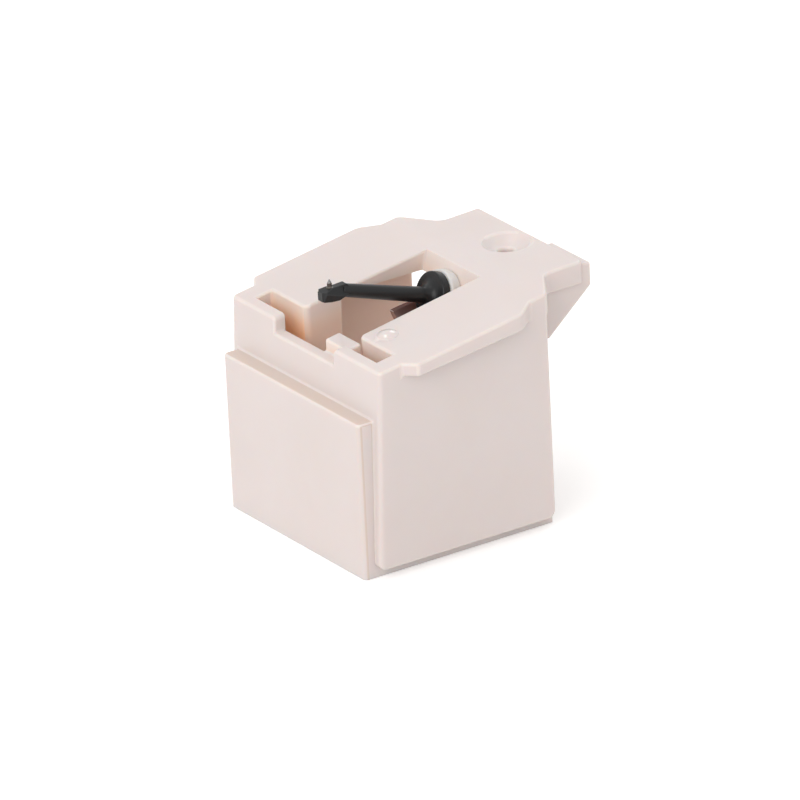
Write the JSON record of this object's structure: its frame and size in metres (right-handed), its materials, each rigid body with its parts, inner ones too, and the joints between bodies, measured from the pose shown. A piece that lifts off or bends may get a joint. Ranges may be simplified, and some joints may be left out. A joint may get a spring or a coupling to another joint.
{
  "type": "turntable stylus assembly",
  "caption": "Replaceable stylus assembly: open housing with a thumb tab, and a damped cantilever that carries a diamond needle and bar magnets.",
  "frame": {"origin": "middle of the part's box at its base, which is the plane of the housing's open rim", "axes": "+X across the front to the viewer's right, +Y from the front plate to the thumb tab, +Z from the rim to the needle"},
  "size_m": [0.0144, 0.015, 0.0133],
  "materials": {
    "housing": "smooth moulded, slightly translucent cream",
    "cantilever": "black moulded, satin",
    "shank": "polished, fine",
    "diamond": "polished",
    "damper": "pale grey elastomer, satin",
    "magnet": "plated bar magnet",
    "wire": "drawn wire",
    "ferrule": "turned"
  },
  "bodies": {
    "housing": {"housing": "housing", "suspension_wire": "wire", "wire_ferrule": "ferrule"},
    "damper": {"damper_ring": "damper"},
    "lever": {"cantilever": "cantilever", "stylus_shank": "shank", "diamond_tip": "diamond", "magnet_left": "magnet", "magnet_right": "magnet"}
  },
  "joints": [
    {"name": "lateral_swing", "type": "hinge", "parent": "housing", "child": "damper", "pos_m": [0, 0.00153, 0.01068], "axis": [0, 0, 1], "range_deg": [-3.5, 3.5], "stiffness_Nm_per_rad": 0.005, "deforming": ["damper_ring"]},
    {"name": "vertical_swing", "type": "hinge", "parent": "damper", "child": "lever", "pos_m": [0, 0.00153, 0.01068], "axis": [1, 0, 0], "range_deg": [-3.5, 3.5], "stiffness_Nm_per_rad": 0.005}
  ]
}
